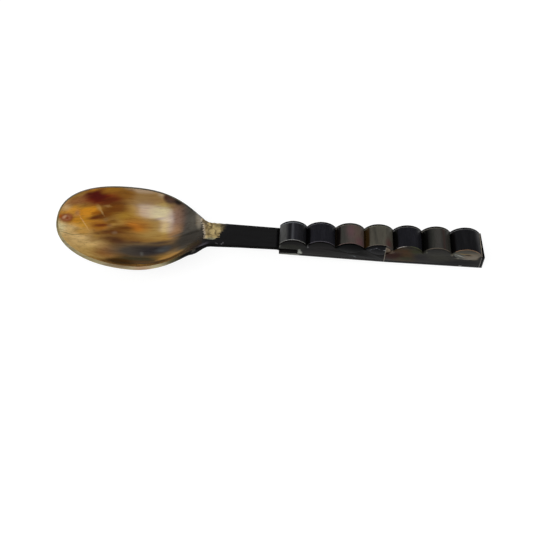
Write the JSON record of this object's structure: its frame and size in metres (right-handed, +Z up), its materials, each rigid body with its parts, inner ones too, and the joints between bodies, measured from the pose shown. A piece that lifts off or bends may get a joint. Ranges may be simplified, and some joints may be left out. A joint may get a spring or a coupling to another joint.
{
  "type": "horn spoon",
  "caption": "Serving spoon with a carved horn bowl and neck and a lobed handle built of curved and flat horn plates on a wooden core.",
  "frame": {"origin": "centre of the spoon's bounding box in plan, on the surface that it lies on", "axes": "+X from the bowl's tip to the butt, +Y across to the far side, +Z up out of the bowl"},
  "size_m": [0.2684, 0.0662, 0.029],
  "materials": {
    "bowl_horn": "polished mottled amber horn",
    "black_horn": "polished black horn",
    "dark_horn": "polished dark horn",
    "grey_horn": "polished olive grey horn",
    "brown_horn": "polished brown horn",
    "pale_horn": "worn pale horn",
    "core_wood": "dark stained wood, unpolished"
  },
  "bodies": {
    "root": {"bowl_and_neck": "bowl_horn", "handle_core": "core_wood", "near_plate_front": "dark_horn", "near_plate_rear": "brown_horn", "far_plate_front": "dark_horn", "far_plate_rear": "dark_horn", "bottom_plate_front": "pale_horn", "bottom_plate_rear": "dark_horn", "butt_plate": "black_horn", "top_veneer_1": "black_horn", "top_veneer_2": "black_horn", "top_veneer_3": "brown_horn", "top_veneer_4": "grey_horn", "top_veneer_5": "black_horn", "top_veneer_6": "grey_horn", "top_veneer_7": "black_horn", "near_inlay_3": "black_horn", "near_inlay_4": "dark_horn", "near_inlay_7": "pale_horn"}
  },
  "joints": []
}
